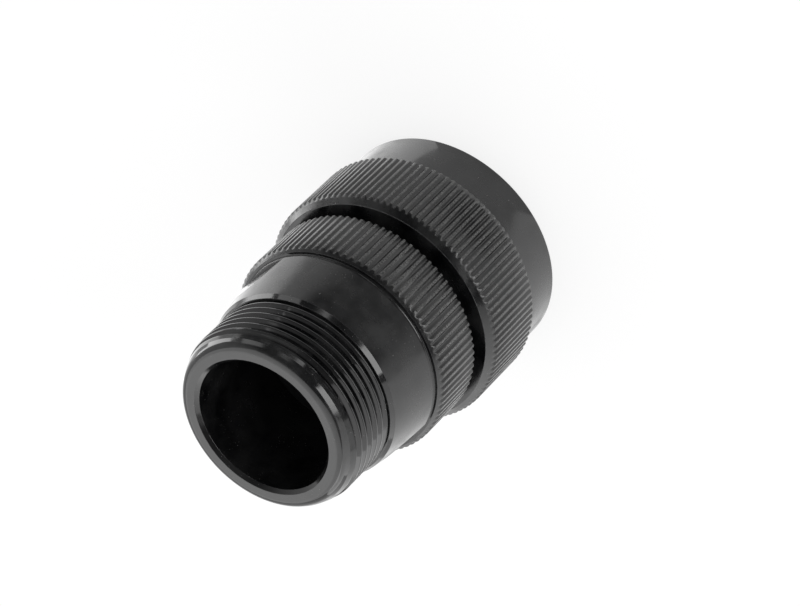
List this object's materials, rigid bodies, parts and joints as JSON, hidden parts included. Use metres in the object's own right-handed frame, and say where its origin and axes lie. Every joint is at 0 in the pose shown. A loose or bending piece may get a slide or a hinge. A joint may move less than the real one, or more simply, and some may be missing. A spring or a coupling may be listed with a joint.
{
  "type": "circular multi-pin connector plug",
  "caption": "Round multi-pin cable plug: knurled bayonet coupling ring, knurled end bell with wrench flats, threaded rear end with a plain cable entry.",
  "frame": {"origin": "centre of the coupling ring's front rim, on which the plug stands", "axes": "+Z along the plug's axis from the mating end to the cable entry; the wrench flats face +X and -X"},
  "size_m": [0.0392, 0.0392, 0.0524],
  "materials": {
    "black_metal": "black plating, satin",
    "spring_steel": "bright spring steel",
    "rubber": "moulded, matt",
    "insert_plastic": "moulded, matt",
    "plate_plastic": "moulded, matt",
    "follower_plastic": "turned, satin",
    "contact_metal": "gold plated"
  },
  "bodies": {
    "shell": {"plug_shell": "black_metal", "interface_gasket": "rubber", "front_insert": "insert_plastic", "contact_plate": "plate_plastic", "rear_insert": "insert_plastic", "insert_lock_ring": "spring_steel", "wire_grommet": "rubber", "end_bell_seal": "rubber", "retaining_ring": "spring_steel", "wave_spring": "spring_steel", "contact_1": "contact_metal", "contact_2": "contact_metal", "contact_3": "contact_metal", "contact_4": "contact_metal", "contact_5": "contact_metal", "contact_6": "contact_metal", "contact_7": "contact_metal", "contact_8": "contact_metal", "contact_9": "contact_metal", "contact_10": "contact_metal", "contact_11": "contact_metal", "contact_12": "contact_metal", "contact_13": "contact_metal", "contact_14": "contact_metal"},
    "washer": {"thrust_washer": "spring_steel"},
    "ring": {"coupling_ring": "black_metal"},
    "follower": {"grommet_follower": "follower_plastic"},
    "bell": {"end_bell": "black_metal"}
  },
  "joints": [
    {"name": "ring_float", "type": "slide", "parent": "shell", "child": "washer", "axis": [0, 0, -1], "range_m": [0, 0.0008], "stiffness_N_per_m": 8000, "deforming": ["wave_spring"]},
    {"name": "ring_turn", "type": "hinge", "parent": "washer", "child": "ring", "pos_m": [0, 0, 0], "axis": [0, 0, 1], "continuous": true},
    {"name": "bell_lift", "type": "slide", "parent": "shell", "child": "follower", "axis": [0, 0, 1], "range_m": [0, 0.00706]},
    {"name": "bell_turn", "type": "hinge", "parent": "follower", "child": "bell", "pos_m": [0, 0, 0], "axis": [0, 0, 1], "range_deg": [0, 1800]}
  ],
  "couplings": [
    {"joint": "bell_lift", "follows": "bell_turn", "m_per_rad": 0.00022458}
  ]
}
